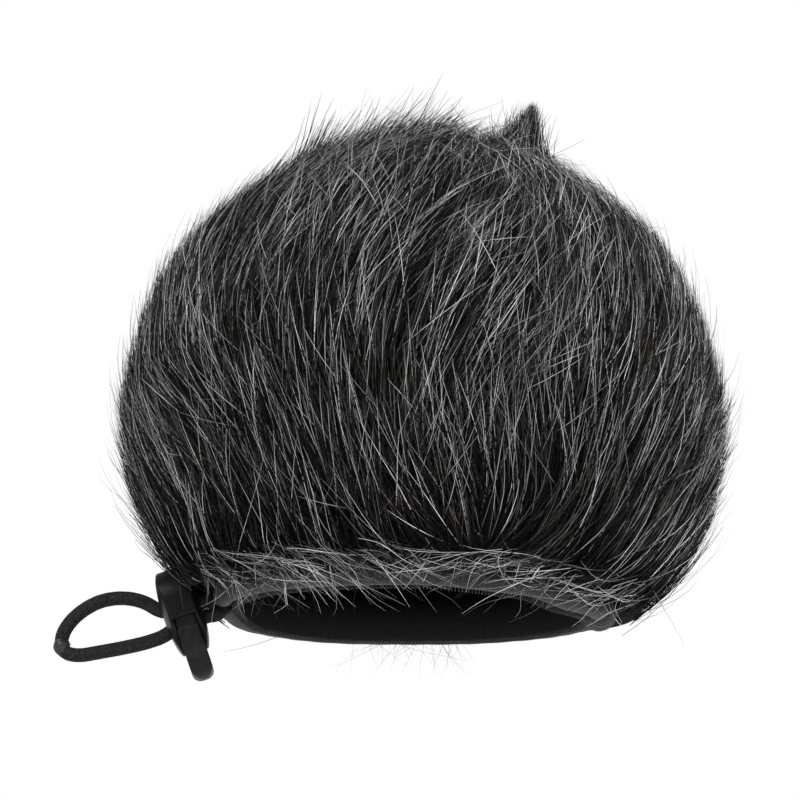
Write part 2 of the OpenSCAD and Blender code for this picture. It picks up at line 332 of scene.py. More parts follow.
def even_directions(count):
    """Evenly spread unit directions over the part of the sphere that the fur covers."""
    i = np.arange(count) + 0.5
    z = 1 - 2 * i / count
    a = i * math.pi * (1 + 5**0.5)
    r = np.sqrt(1 - z * z)
    u = np.stack([r * np.cos(a), r * np.sin(a), z], -1)
    return u[surface(u, FUR_T)[:, 2] > PILE_LOW]


def lying_hair(clumps, per_clump, spread, reach, lift, stray, gather=0.35, rings=6):
    """Paths (n, rings, 3) of hair along the flow, in clumps; gather is a clump's width at its tips."""
    centre = even_directions(clumps)
    centre = unit(centre + rng.normal(size=centre.shape) * 0.012)
    way = flow(centre)
    clump_rise = rng.gamma(1.1, 0.4 * MM, len(centre)) * (1 + 0.9 * near(centre, CREST, 0.33))
    centre = np.repeat(centre, per_clump, 0)
    way = np.repeat(way, per_clump, 0)
    n = len(centre)
    root = unit(centre + rng.normal(size=(n, 3)) * spread)
    length = rng.uniform(*reach, n)
    tip_way = unit(way + rng.normal(size=(n, 3)) * stray)
    turn = (length / DOME_R)[:, None]
    tip = unit(centre * np.cos(turn) + tip_way * np.sin(turn) + (root - centre) * gather)
    bend = rng.normal(size=(n, 3)) * 0.02
    s = np.linspace(0, 1, rings)[None, :, None]
    u = unit(root[:, None] * (1 - s) + tip[:, None] * s + bend[:, None] * s * (1 - s))
    rise = rng.uniform(*lift, n)[:, None] * (1 - (1 - s[..., 0]) ** 1.8)
    stand = np.abs(rng.normal(size=n))[:, None] * 0.9 * MM * s[..., 0] ** 3
    stand = stand + np.repeat(clump_rise, per_clump)[:, None] * s[..., 0] ** 2
    crest = near(tip, CREST, 0.36)[:, None]
    stand = stand * (1 + 2 * crest) + 0.3 * MM * crest * s[..., 0] ** 2
    return lean(surface(u, ROOTS) + (rise + stand)[..., None] * u)


def tuft_hair(count, rings=6):
    """Hair drawn together into a point at the crown."""
    root = unit(SINK + rng.normal(size=(count, 3)) * 0.1)
    peak = lean(surface(SINK[None], -11.5 * MM))[0] + np.array([-2.5, 0, 0]) * MM
    below = np.abs(rng.normal(size=(count, 1))) * 6 * MM
    tip = peak - below * SINK + rng.normal(size=(count, 3)) * (0.4 * MM + 0.3 * below)
    tip += (root - SINK) * 2.2 * below
    s = np.linspace(0, 1, rings)[None, :, None]
    bow = (SINK - root)[:, None] * 5 * MM
    return lean(surface(root, ROOTS))[:, None] * (1 - s) + tip[:, None] * s + bow * s * (1 - s) * 4


def fringe_hair(count, reach, rings=6):
    """Short hair round the fur's hem, which hangs over the cuff at the front."""
    a = rng.uniform(0, 2 * math.pi, count)
    q = rng.uniform(0, 1, count) ** 0.8
    out = np.stack([np.cos(a), np.sin(a), 0 * a], -1)
    side = np.stack([-np.sin(a), np.cos(a), 0 * a], -1)
    r = (40.2 + 8 * q) * MM
    z = PILE_LOW + (3.6 - 2.6 * q) * MM
    root = out * r[:, None] + np.array([0, 0, 1]) * z[:, None]
    sweep = np.where(out[:, 0] < 0, 1, -1) * rng.uniform(0.3, 1.8, count)
    first = unit(out * (0.1 + 0.45 * q)[:, None] + side * sweep[:, None] + np.array([0, 0, -0.6])
                 + rng.normal(size=(count, 3)) * 0.25)
    later = np.array([0, 0, -0.35]) - out * (0.55 * q)[:, None] + rng.normal(size=(count, 3)) * 0.3
    length = rng.uniform(*reach, count) * (0.8 + 0.45 * q)
    s = np.linspace(0, 1, rings)[None, :, None]
    paths = root[:, None] + length[:, None, None] * (first[:, None] * s + later[:, None] * s * s)
    paths = clear_cuff(lean(paths))
    behind = (paths[:, 0, 1] > 0) & (paths[:, :, 2].min(1) < 1.5 * MM)
    by_fold = (paths[:, 0, 0] > 32 * MM) & (rng.uniform(0, 1, count) < 0.75)
    return paths[~(behind | by_fold)]


def curl_hair(count, a_from, a_to, reach, down, across=(-0.5, 0.85), bend=0.45, root_r=(40.5 * MM, 44 * MM),
              root_z=(3 * MM, 6 * MM), away=0.15, rings=9):
    """Long loose hairs that leave the hem between two angles, in degrees, and fall across the cuff."""
    a = np.radians(rng.uniform(a_from, a_to, count))
    out = np.stack([np.cos(a), np.sin(a), 0 * a], -1)
    side = np.stack([-np.sin(a), np.cos(a), 0 * a], -1)
    up = np.array([0, 0, 1])
    root = out * rng.uniform(*root_r, count)[:, None] + up * rng.uniform(*root_z, count)[:, None]
    sweep = np.where(out[:, 0] < 0, 1, -1) * rng.uniform(*across, count)
    first = unit(side * sweep[:, None] + out * away - up * rng.uniform(*down, count)[:, None])
    curl = rng.normal(size=(count, 3)) * bend
    length = rng.uniform(*reach, count)
    s = np.linspace(0, 1, rings)[None, :, None]
    wave = np.sin(s * math.pi * 1.5) * rng.normal(size=(count, 1, 3)) * 0.06
    paths = root[:, None] + length[:, None, None] * (first[:, None] * s + curl[:, None] * s * s + wave)
    return clear_cuff(lean(paths))


def clear_cuff(paths):
    """Keeps hair outside the cuff and its rolled edge."""
    flat = np.linalg.norm(paths[..., :2], axis=-1)
    low = paths[..., 2] < 5.5 * MM
    least = np.where(low, EDGE_R + 0.5 * MM, BAND_R + 0.4 * MM)
    factor = np.maximum(1, least / flat)
    out = paths.copy()
    out[..., :2] *= factor[..., None]
    return out


def clear_lock(paths):
    """Drops hair in the cord lock's corridor or in the cuff, and hair that hangs low beside the lock."""
    x, y, z = paths[..., 0], paths[..., 1], paths[..., 2]
    in_corridor = (x < -36 * MM) & (np.abs(y) < 7.8 * MM) & (z < HEM_Z + 0.2 * MM)
    in_cuff = (np.hypot(x, y) < EDGE_R) & (z < 4.5 * MM)
    by_lock = (x < -41 * MM) & (y < 0) & (z < 4 * MM) & (rng.uniform(0, 1, len(paths)) < 0.85)[:, None]
    low_behind = (x > 14 * MM) & (y > 8 * MM) & (z < 4 * MM)
    dropped = in_corridor | in_cuff | by_lock | low_behind | (z < LOWEST_HAIR)
    return paths[~dropped.any(1)]


# Name, colour and roughness of the pile's tones, from dark to light
TONES = [("pile_black", (0.0022, 0.002, 0.0019), 0.65), ("pile_charcoal", (0.0085, 0.0077, 0.0074), 0.6),
         ("pile_smoke", (0.031, 0.0295, 0.0285), 0.5), ("pile_ash", (0.105, 0.103, 0.103), 0.45),
         ("pile_silver", (0.28, 0.28, 0.285), 0.4), ("pile_white", (0.5, 0.5, 0.505), 0.38)]


def hair_object(name, paths, radius, tones, mats, root_drop):
    """Tapered three-sided strands along paths, root_drop tones darker at the root than at the tip."""
    n, rings, _ = paths.shape
    main = unit(paths[:, -1] - paths[:, 0])
    side = unit(np.cross(main, unit(rng.normal(size=(n, 3)))))
    other = np.cross(main, side)
    s = np.linspace(0, 1, rings)
    taper = np.minimum(1, 0.75 + s) * (1 - 0.72 * s**2)
    verts = np.empty((n, rings * 3 + 1, 3))
    for j in range(3):
        turn = 2 * math.pi * j / 3
        ray = math.cos(turn) * side + math.sin(turn) * other
        verts[:, j:rings * 3:3] = paths + radius[:, None, None] * taper[None, :, None] * ray[:, None]
    verts[:, -1] = paths[:, -1] + (paths[:, -1] - paths[:, -2]) * 0.3
    base = (np.arange(n) * (rings * 3 + 1))[:, None, None]
    k, j = np.meshgrid(np.arange(rings - 1), np.arange(3), indexing="ij")
    k, j = k.ravel(), j.ravel()
    j2 = (j + 1) % 3
    quads = np.stack([3 * k + j, 3 * k + j2, 3 * k + 3 + j2, 3 * k + 3 + j], -1)
    last = 3 * (rings - 1)
    ends = np.array([[last, last + 1, last + 3], [last + 1, last + 2, last + 3], [last + 2, last, last + 3],
                     [0, 2, 1]])
    part = (k / (rings - 1))[None, :]
    tone = tones[:, None]
    drop = np.where(part < 0.3, root_drop, np.where(part < 0.55, root_drop - 1, 0))
    shade = np.maximum(tone - drop, 0)
    end_shade = np.concatenate([np.repeat(tone, 3, 1), np.zeros_like(tone)], 1)
    faces = [(base + quads).reshape(-1, 4), (base + ends).reshape(-1, 3)]
    mat_indices = [shade.ravel(), end_shade.ravel()]
    return mesh_object(name, verts.reshape(-1, 3), faces, mats, mat_indices=mat_indices)


def panel_of(paths):
    """Place in PANELS of the panel that each hair grows on."""
    a = np.degrees(np.arctan2(paths[:, 0, 1], paths[:, 0, 0] - LEAN_X))
    return np.round((a + 90) / 90).astype(int) % 4


def pile_material(name, colour, roughness):
    """Hair of one tone, darker and lighter in patches."""
    mat, tree, bsdf = new_material(name, colour, roughness, Specular_IOR_Level=0.07)
    add_grain(tree, bsdf, 60, 0.1, [0.7 * c for c in colour], [1.4 * c for c in colour], 2)
    return mat


def make_pile():
    mats = [pile_material(*tone) for tone in TONES]
    loose_radii = (0.055 * MM, 0.08 * MM)
    loose_tones = (0, 0.05, 0.15, 0.25, 0.35, 0.2)
    kinds = [
        # name, paths, radius range, chance of each tone
        ("undercoat", lying_hair(2600, 15, 0.030, (13 * MM, 21 * MM), (2.6 * MM, 5.2 * MM), 0.16),
         (0.11 * MM, 0.17 * MM), (0.42, 0.38, 0.16, 0.04, 0, 0)),
        ("guard_hair", lying_hair(3600, 5, 0.030, (17 * MM, 30 * MM), (4.4 * MM, 6.4 * MM), 0.2, 0.4),
         (0.065 * MM, 0.1 * MM), (0.19, 0.22, 0.17, 0.155, 0.175, 0.09)),
        ("stray_hair", lying_hair(1600, 1, 0.030, (12 * MM, 24 * MM), (5 * MM, 9.5 * MM), 0.42, 1),
         (0.05 * MM, 0.075 * MM), (0, 0.1, 0.2, 0.25, 0.3, 0.15)),
        ("fringe", fringe_hair(1500, (2.5 * MM, 6 * MM)),
         (0.08 * MM, 0.13 * MM), (0.25, 0.3, 0.2, 0.13, 0.09, 0.03)),
        ("front_curl", curl_hair(110, -150, -20, (7 * MM, 18 * MM), (0.35, 1.2)), loose_radii, loose_tones),
        ("left_curl", curl_hair(170, -150, -95, (9 * MM, 17 * MM), (0.2, 0.6), (0.4, 1.3), 0.2,
                                (44 * MM, 53 * MM), (3 * MM, 7 * MM), -0.35), loose_radii, loose_tones),
        ("right_curl", curl_hair(110, -72, -24, (9 * MM, 16 * MM), (0.1, 0.5), (0.4, 1.3), 0.25,
                                 (44 * MM, 53 * MM), (2 * MM, 6 * MM), -0.3), loose_radii, loose_tones),
        ("back_wisp", curl_hair(110, 76, 102, (8 * MM, 13 * MM), (0.7, 1)),
         (0.03 * MM, 0.045 * MM), (0, 0, 0.1, 0.3, 0.4, 0.2)),
    ]
    for kind, paths, radii, chance in kinds:
        paths = clear_lock(paths)
        panel = panel_of(paths)
        for i, name in enumerate(PANELS):
            mine = paths[panel == i]
            if len(mine) == 0:
                continue
            tones = rng.choice(len(TONES), len(mine), p=np.array(chance) / sum(chance))
            obj = hair_object(f"{kind}_{name}", mine, rng.uniform(*radii, len(mine)), tones, mats,
                              2 if kind == "undercoat" else 1)
    make_tuft(mats)


def make_tuft(mats):
    paths = tuft_hair(1500)
    tones = rng.choice(len(TONES), len(paths), p=(0.3, 0.28, 0.16, 0.12, 0.1, 0.04))
    tuft = hair_object("crown_tuft", paths, rng.uniform(0.07 * MM, 0.11 * MM, len(paths)), tones, mats, 1)
    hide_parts("crown_gather")


# ---- fabric shells ----
LOCK_HALF_DEG = 13                           # the fur's skirt is cut back this far each side of the lock
BACKING_OUT = FUR_T - 1.3 * MM               # the knitted backing's two faces, inside the pile's lie
BACKING_IN = FUR_T - 0.1 * MM
LINER_LOW = 13.4 * MM                        # foot of the foam and its lining


def skirt_spans(middle):
    """Arcs, in degrees, of one panel's skirt, with the lock's notch left open."""
    spans = [(middle - 45, middle + 45)]
    if middle == PANELS["left"]:
        spans = [(middle - 45, 180 - LOCK_HALF_DEG), (180 + LOCK_HALF_DEG, middle + 45)]
    return spans


def make_shells():
    knit, tree, bsdf = new_material("fur_backing", (0.005, 0.0048, 0.0045), 0.95, Specular_IOR_Level=0.05)
    add_grain(tree, bsdf, 900, 0.5, (0.002, 0.0019, 0.0018), (0.007, 0.0066, 0.0064))
    for name, a in PANELS.items():
        outer = profile(BACKING_OUT, 89.6, HEM_Z + 1 * MM, 40)
        inner = profile(BACKING_IN, 89.6, HEM_Z + 3.2 * MM, 40)
        flange = np.array([[FLANGE_R, HEM_Z + 0.4 * MM], [BAND_R + 0.3 * MM, HEM_Z + 0.5 * MM],
                           [BAND_R + 0.3 * MM, HEM_Z + 1.5 * MM], [FLANGE_R, HEM_Z + 1.5 * MM]])
        outline = np.concatenate([outer, flange, inner[::-1]])
        shell = revolve(f"fur_backing_{name}", outline, a - 45, a + 45, 46, [knit])
        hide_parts(f"fur_{name}")
        skirts = make_skirts(name, a, knit)
    make_foam()
    make_lining()


def make_skirts(name, middle, knit):
    """The backing's lower edge, which curls in under the dome."""
    outer = profile(BACKING_OUT, 0, PILE_LOW, 14)[7:]
    inner = profile(BACKING_IN, 0, PILE_LOW + 1 * MM, 14)[7:]
    lip = np.array([[41.5 * MM, PILE_LOW + 1.2 * MM], [40.6 * MM, PILE_LOW + 2.4 * MM],
                    [41.5 * MM, PILE_LOW + 2.6 * MM]])
    outline = np.concatenate([outer, lip, inner[::-1]])
    skirts = []
    for k, (a0, a1) in enumerate(skirt_spans(middle)):
        skirt = revolve(f"fur_skirt_{name}_{k}", outline, a0, a1, 40, [knit])
        skirts.append(skirt)
    return skirts


def make_foam():
    foam, tree, bsdf = new_material("open_cell_foam", (0.035, 0.035, 0.037), 0.95)
    add_grain(tree, bsdf, 1400, 1.0, (0.01, 0.01, 0.01), (0.06, 0.06, 0.062), 2)
    off = FUR_T + 0.4 * MM
    outline = np.concatenate([profile(off, 89.8, LINER_LOW, 40),
                              profile(off + FOAM_T - 0.5 * MM, 89.8, LINER_LOW, 40)[::-1]])
    liner = revolve("foam_dome", outline, 0, 360, 120, [foam])
    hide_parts("foam_liner")


def make_lining():
    """Fine knitted lining over the foam, turned in to the top of the cuff."""
    mat, tree, bsdf = new_material("lining_knit", (0.004, 0.004, 0.004), 0.95, Specular_IOR_Level=0.0)
    add_grain(tree, bsdf, 2600, 0.8, (0.0008, 0.0008, 0.0008), (0.003, 0.003, 0.0031), 1)
    off = FUR_T + FOAM_T + 0.05 * MM
    outer = profile(off, 89.8, LINER_LOW, 44)
    inner = profile(off + 0.6 * MM, 89.8, LINER_LOW + 0.6 * MM, 44)
    turn = np.array([[BAND_R + 3 * MM, LINER_LOW - 0.1 * MM], [BAND_R + 0.25 * MM, LINER_LOW],
                     [BAND_R + 0.25 * MM, LINER_LOW + 0.6 * MM], [BAND_R + 3 * MM, LINER_LOW + 0.5 * MM]])
    lining = revolve("lining", np.concatenate([outer, turn, inner[::-1]]), 0, 360, 160, [mat])
    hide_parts("lining_mesh")


# ---- cuff ----
# How far the soft rim lies off its plane: angle from +X in degrees, and height in mm
RIM_SHAPE = [(-180, 0), (-150, 0), (-90, -0.6), (-55, -1.6), (-35, -3.2), (0, -2.8), (30, -2.2),
             (60, -2), (90, -1.8), (120, -2), (150, -1.8), (180, 0)]


def rim_height(a):
    """Height of the rim off its plane at angle a, in radians, eased between the points above."""
    degrees = (np.degrees(a) + 180) % 360 - 180
    at = np.array(RIM_SHAPE, float)
    i = np.clip(np.searchsorted(at[:, 0], degrees, side="right") - 1, 0, len(at) - 2)
    part = smooth_step((degrees - at[i, 0]) / (at[i + 1, 0] - at[i, 0]))
    return (at[i, 1] + (at[i + 1, 1] - at[i, 1]) * part) * MM


def droop_rim(points):
    """Moves points of the cuff by the rim's shape, fading out up the cuff."""
    a = np.arctan2(points[..., 1], points[..., 0])
    weight = 1 - smooth_step((points[..., 2] - 4.4 * MM) / (HEM_Z - 4.4 * MM))
    out = points.copy()
    out[..., 2] += rim_height(a) * weight
    return out


RIBS = 340                                   # ribs of the knit round the cuff
TUCK_HALF_DEG = 8                            # half the angle that the tucked end covers


def ring_sweep(name, outline, a0, a1, mats, rib=0.09 * MM, swell=None, steps_per_rib=4):
    """Closed solid: a closed (r, z) outline swept round the opening, with the knit's ribs across it."""
    full = abs(a1 - a0) >= 360
    steps = int(RIBS * steps_per_rib * abs(a1 - a0) / 360)
    angles = np.radians(np.linspace(a0, a1, steps, endpoint=not full))
    before, after = np.roll(outline, 1, 0), np.roll(outline, -1, 0)
    around = after - before
    normal = unit(np.stack([around[:, 1], -around[:, 0]], -1))
    normal *= np.sign(np.sum(outline[:, 0] * after[:, 1] - after[:, 0] * outline[:, 1]))
    ridge = rib * (0.5 - 0.5 * np.cos(RIBS * angles)) + 0.35 * rib * np.sin(37 * angles)
    grow = np.zeros(steps) if swell is None else swell(np.degrees(angles))
    push = (ridge + grow)[:, None, None] * normal[None]
    rz = outline[None] + push
    verts = np.stack([rz[..., 0] * np.cos(angles)[:, None], rz[..., 0] * np.sin(angles)[:, None],
                      rz[..., 1]], -1)
    n = len(outline)
    faces = [grid_faces(steps, n, True, full)]
    if not full:
        faces += [fan(n, 0, False), fan(n, (steps - 1) * n, True)]
    return mesh_object(name, droop_rim(verts).reshape(-1, 3), faces, mats)


def arc_points(r, z, radius, start, end, n):
    """Points of a circular arc in the (r, z) plane, angles in degrees."""
    t = np.radians(np.linspace(start, end, n))
    return np.stack([r + radius * np.cos(t), z + radius * np.sin(t)], -1)


def darken_up(tree, bsdf, z_from, z_to, least):
    """Darkens the base colour with height, down to least of it, as the cuff lies deeper in shade there."""
    link = tree.links.new
    colour = bsdf.inputs["Base Color"].links[0].from_socket
    coords = tree.nodes.new("ShaderNodeTexCoord")
    parts = tree.nodes.new("ShaderNodeSeparateXYZ")
    level = tree.nodes.new("ShaderNodeMapRange")
    for socket, value in zip(("From Min", "From Max", "To Min", "To Max"), (z_from, z_to, 1, least)):
        level.inputs[socket].default_value = value
    scale = tree.nodes.new("ShaderNodeVectorMath")
    scale.operation = "SCALE"
    link(coords.outputs["Object"], parts.inputs["Vector"])
    link(parts.outputs["Z"], level.inputs["Value"])
    link(colour, scale.inputs["Vector"])
    link(level.outputs["Result"], scale.inputs["Scale"])
    link(scale.outputs["Vector"], bsdf.inputs["Base Color"])


def cuff_materials():
    """The band's ribbed knit, the rolled edge's knit and the sewing thread."""
    rib_knit, tree, bsdf = new_material("rib_knit", (0.01, 0.01, 0.0105), 0.8, Specular_IOR_Level=0.0)
    add_grain(tree, bsdf, 2600, 0.35, (0.009, 0.009, 0.0092), (0.0155, 0.0155, 0.016))
    darken_up(tree, bsdf, -1 * MM, 7 * MM, 0.1)
    edge, tree, bsdf = new_material("edge_knit", (0.014, 0.014, 0.0145), 0.6, Specular_IOR_Level=0.16,
                                    Sheen_Weight=0.05)
    add_grain(tree, bsdf, 1500, 0.35, (0.007, 0.007, 0.0073), (0.021, 0.021, 0.022))
    thread, tree, bsdf = new_material("sewing_thread", (0.02, 0.02, 0.0205), 0.65, Specular_IOR_Level=0.12)
    add_grain(tree, bsdf, 2500, 0.3, (0.011, 0.011, 0.0115), (0.03, 0.03, 0.031))
    return rib_knit, edge, thread


def make_band(rib_knit):
    levels = np.linspace(0.5 * MM, BAND_TOP - 0.3 * MM, 22)
    inner = np.stack([np.full(len(levels), BORE_R + 0.1 * MM), levels], -1)
    outer = np.stack([np.full(len(levels), BAND_R - 0.1 * MM), levels[::-1]], -1)
    band = ring_sweep("elastic_band", np.concatenate([inner, outer]), 0, 360, [rib_knit], 0.1 * MM)
    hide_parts("cuff_band")
    return band


def make_rolled_edge(edge):
    """The drawcord's channel, rolled from the cuff's edge and sewn to the band."""
    roll = arc_points(CHANNEL_R, CHANNEL_Z, CHANNEL_OUT - 0.05 * MM, -185, 55, 26)
    seam_top = np.array([[BAND_R + 0.3 * MM, 6.6 * MM], [BAND_R + 0.05 * MM, 6.6 * MM],
                         [BAND_R + 0.05 * MM, 3 * MM]])
    rolled = ring_sweep("rolled_edge", np.concatenate([roll, seam_top]), EXIT_DEG - 180, 180 - EXIT_DEG,
                        [edge], 0.08 * MM)
    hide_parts("drawcord_channel")
    return rolled


def pleats(deg):
    """How far the tucked end stands out, with its pleats, at so many degrees from +X."""
    ends = np.clip(1 - (np.abs(deg) / TUCK_HALF_DEG) ** 2, 0, 1) ** 0.5
    return ends * (0.95 + 0.4 * np.abs(np.cos(np.radians(deg * 34)))) * MM - 0.1 * MM


def make_tuck(edge):
    """The rolled edge's end, tucked in at +X."""
    outline = arc_points(CHANNEL_R + 0.1 * MM, CHANNEL_Z - 0.1 * MM, CHANNEL_OUT, 0, 346, 26)
    tuck = ring_sweep("tucked_end", outline, -TUCK_HALF_DEG, TUCK_HALF_DEG, [edge], 0.06 * MM, pleats, 8)
    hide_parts("channel_end_wrap")
    return tuck


def make_exit_tab(edge):
    """The tab that covers the channel where the cord comes out."""
    outline = np.concatenate([arc_points(CHANNEL_R, CHANNEL_Z, CHANNEL_OUT + 0.45 * MM, 55, 150, 12),
                              arc_points(CHANNEL_R, CHANNEL_Z, CHANNEL_OUT + 0.12 * MM, 150, 55, 12)])
    tab = ring_sweep("exit_tab", outline, 168, 192, [edge], 0.04 * MM)
    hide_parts("cord_exit_tab")
    return tab


def make_cuff():
    rib_knit, edge, thread = cuff_materials()
    band = make_band(rib_knit)
    rolled = make_rolled_edge(edge)
    tuck = make_tuck(edge)
    tab = make_exit_tab(edge)
    stitches = make_overlock(thread)
    make_cuff_row(thread)
    make_panel_seams(thread)


def tube_bundle(name, paths, radius, sides, mats, body="windscreen"):
    """Round tubes of one radius along many short paths (n, rings, 3), closed at both ends."""
    n, rings, _ = paths.shape
    ahead = unit(np.gradient(paths, axis=1))
    ref = np.where(np.abs(ahead[:, :1, 2:3]) > 0.9, np.array([1.0, 0, 0]), np.array([0, 0, 1.0]))
    side = unit(np.cross(ahead, np.broadcast_to(ref, ahead.shape)))
    other = np.cross(ahead, side)
    t = 2 * math.pi * np.arange(sides) / sides
    ray = side[:, :, None] * np.cos(t)[:, None] + other[:, :, None] * np.sin(t)[:, None]
    ends = np.sin(np.linspace(0.12, 0.88, rings) * math.pi) ** 0.3
    verts = (paths[:, :, None] + radius * ends[:, None, None] * ray).reshape(-1, 3)
    one = grid_faces(rings, sides)
    caps = np.concatenate([fan(sides, 0, False), fan(sides, (rings - 1) * sides, True)])
    base = (np.arange(n) * rings * sides)[:, None, None]
    return mesh_object(name, verts, [(one + base).reshape(-1, 4), (caps + base).reshape(-1, 3)], mats, body)


def make_overlock(thread):
    """Slanted thread loops over the cuff's inner lower edge."""
    count = 320
    a = np.radians(np.arange(count) * 360 / count)
    loop = arc_points((BORE_R + BAND_R) / 2, 0.6 * MM, 0.85 * MM, -5, -175, 7)
    slant = np.radians(np.linspace(0, 0.9, 7))
    angle = a[:, None] + slant[None]
    paths = np.stack([loop[:, 0] * np.cos(angle), loop[:, 0] * np.sin(angle),
                      np.broadcast_to(loop[:, 1], angle.shape)], -1)
    stitches = tube_bundle("overlock_edge", droop_rim(paths), 0.12 * MM, 6, [thread])
    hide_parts("hem_stitches")
    return stitches


def make_cuff_row(thread):
    """Short straight stitches where the fur meets the cuff."""
    count = 96
    a = np.radians(np.arange(count) * 360 / count)
    part = np.radians(np.linspace(0, 2.6, 5))
    bulge = np.array([0, 0.2, 0.28, 0.2, 0]) * MM
    r = BAND_R + 0.25 * MM + bulge
    angle = a[:, None] + part[None]
    paths = np.stack([r * np.cos(angle), r * np.sin(angle), np.full(angle.shape, HEM_Z - 0.5 * MM)], -1)
    row = tube_bundle("cuff_seam_row", paths, 0.16 * MM, 6, [thread])
    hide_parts("cuff_stitches")


def make_panel_seams(thread):
    """Stitches across the four seams between the fur's panels."""
    line = profile(FUR_T - 1.55 * MM, 86, HEM_Z + 3 * MM, 60)
    across = np.radians(np.linspace(-0.7, 0.7, 5))
    paths = []
    for middle in PANELS.values():
        for r, z in line:
            angle = math.radians(middle + 45) + across * (DOME_R / max(r, 12 * MM))
            paths.append(np.stack([r * np.cos(angle), r * np.sin(angle), np.full(5, z)], -1))
    seams = tube_bundle("panel_seams", lean(np.array(paths)), 0.22 * MM, 6, [thread])
    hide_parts("seam_stitching")


# ---- drawcord ----
def from_lock(x, y, z):
    """A point of the lock's own frame, in millimetres, in the object's frame."""
    c, s = math.cos(LOCK_LEAN), math.sin(LOCK_LEAN)
    return LOCK_POS + np.array([x * c - z * s, y, x * s + z * c]) * MM


# Routes of the drawcord, as in the CAD, in millimetres
LEAD_FRONT = [(-0.3, -3, 0.1), (-1.1, -1.5, 0), (-2.4, -0.5, -0.2)]
LEAD_BACK = [(-0.2, 3.2, -0.9), (-0.6, 1.9, -2.3), (-1.6, 0.6, -3.1)]
LOOP = [(-5.2, 0, 1.1), (-7.4, 0.2, 2.6), (-10.2, 0.4, 3.5), (-13.5, 0.6, 3.7), (-17, 0.7, 3),
        (-20.2, 0.7, 1.2), (-22.8, 0.4, -1.3), (-24.3, 0.1, -4.2), (-24, -0.2, -7.2), (-21, -0.4, -8.1),
        (-16.6, -0.5, -7.3), (-12.2, -0.4, -6.5), (-7.4, -0.2, -5.4), (-3.6, 0, -4)]
STRAND_HALF = 1.5                            # half the distance between the strands in the lock
LEAD_IN, LEAD_OUT = 4.6, -2.4                # where the strands are straight, in the lock's frame


def rounded(points, passes=3):
    """Rounds a route by cutting its corners, keeping its ends."""
    p = np.array(points, float)
    for _ in range(passes):
        q = np.stack([p[:-1] * 0.75 + p[1:] * 0.25, p[:-1] * 0.25 + p[1:] * 0.75], 1).reshape(-1, 3)
        p = np.concatenate([p[:1], q, p[-1:]])
    return p


def spaced(path, step):
    """The same route with points step apart."""
    along = np.concatenate([[0], np.cumsum(np.linalg.norm(np.diff(path, axis=0), axis=1))])
    count = max(8, int(along[-1] / step))
    at = np.linspace(0, along[-1], count)
    return np.stack([np.interp(at, along, path[:, i]) for i in range(3)], -1), at


def braided_cord(name, path, radius, mats, sides=56, step=0.14 * MM):
    """Round elastic cord with its sheath's low relief, and its route's points. It is attached to no body.
    """
    p, at = spaced(path, step)
    ahead = unit(np.gradient(p, axis=0))
    side = np.empty_like(p)
    last = unit(np.cross(ahead[0], np.array([0.1, 0.95, 0.3])))
    for i in range(len(p)):
        last = unit(last - ahead[i] * (last @ ahead[i]))
        side[i] = last
    other = np.cross(ahead, side)
    t = 2 * math.pi * np.arange(sides) / sides
    left = np.sin(14 * t[None] + at[:, None] / (0.34 * MM))
    right = np.sin(14 * t[None] - at[:, None] / (0.34 * MM))
    relief = 0.045 * MM * np.maximum(left, right) - 0.045 * MM
    ray = side[:, None] * np.cos(t)[None, :, None] + other[:, None] * np.sin(t)[None, :, None]
    verts = p[:, None] + (radius + relief)[..., None] * ray
    end = (len(p) - 1) * sides
    faces = [grid_faces(len(p), sides), fan(sides, 0, False), fan(sides, end, True)]
    return mesh_object(name, verts.reshape(-1, 3), faces, mats, None), p


def make_loop(cord_mat):
    """The free loop: one cord that leaves the lock, turns, and goes back into it."""
    route = [from_lock(LEAD_OUT, 0, STRAND_HALF)] + [LOCK_POS + np.array(q) * MM for q in LOOP]
    route = rounded(route + [from_lock(LEAD_OUT, 0, -STRAND_HALF)])
    loop, p = braided_cord("cord_loop", route, CORD_R, [cord_mat])
    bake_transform(loop)
    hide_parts("drawcord_loop")
    joint = make_splice(p)


def make_splice(path):
    """Glued joint of the cord's two ends, at the far corner of the loop."""
    glue, tree, bsdf = new_material("clear_glue", (0.014, 0.014, 0.015), 0.45, Coat_Weight=0.12,
                                    Coat_Roughness=0.3, Specular_IOR_Level=0.15)
    add_grain(tree, bsdf, 700, 0.5, (0.009, 0.009, 0.0095), (0.022, 0.022, 0.023))
    at_corner = (path[:, 0] < path[:, 0].min() + 2.2 * MM) & (path[:, 2] < LOCK_POS[2] - 4.6 * MM)
    centre = path[at_corner][:22]
    ahead = unit(np.gradient(centre, axis=0))
    side = unit(np.cross(ahead, np.array([0, 1.0, 0])))
    other = np.cross(ahead, side)
    sides = 36
    t = 2 * math.pi * np.arange(sides) / sides
    s = np.linspace(0, 1, len(centre))[:, None]
    bead = 0.34 * np.exp(-((s - 0.5) / 0.22) ** 2)
    lump = 0.12 * np.exp(-((s - 0.2) / 0.1) ** 2) * np.sin(3 * t[None] + 1)
    r = CORD_R + (bead + lump + 0.03 - 0.25 * (np.abs(2 * s - 1) ** 6)) * MM
    ray = side[:, None] * np.cos(t)[None, :, None] + other[:, None] * np.sin(t)[None, :, None]
    verts = centre[:, None] + r[..., None] * ray
    n = len(centre)
    faces = [grid_faces(n, sides), fan(sides, 0, False), fan(sides, (n - 1) * sides, True)]
    joint = mesh_object("cord_joint", verts.reshape(-1, 3), faces, [glue])
    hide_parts("cord_splice")
    return joint


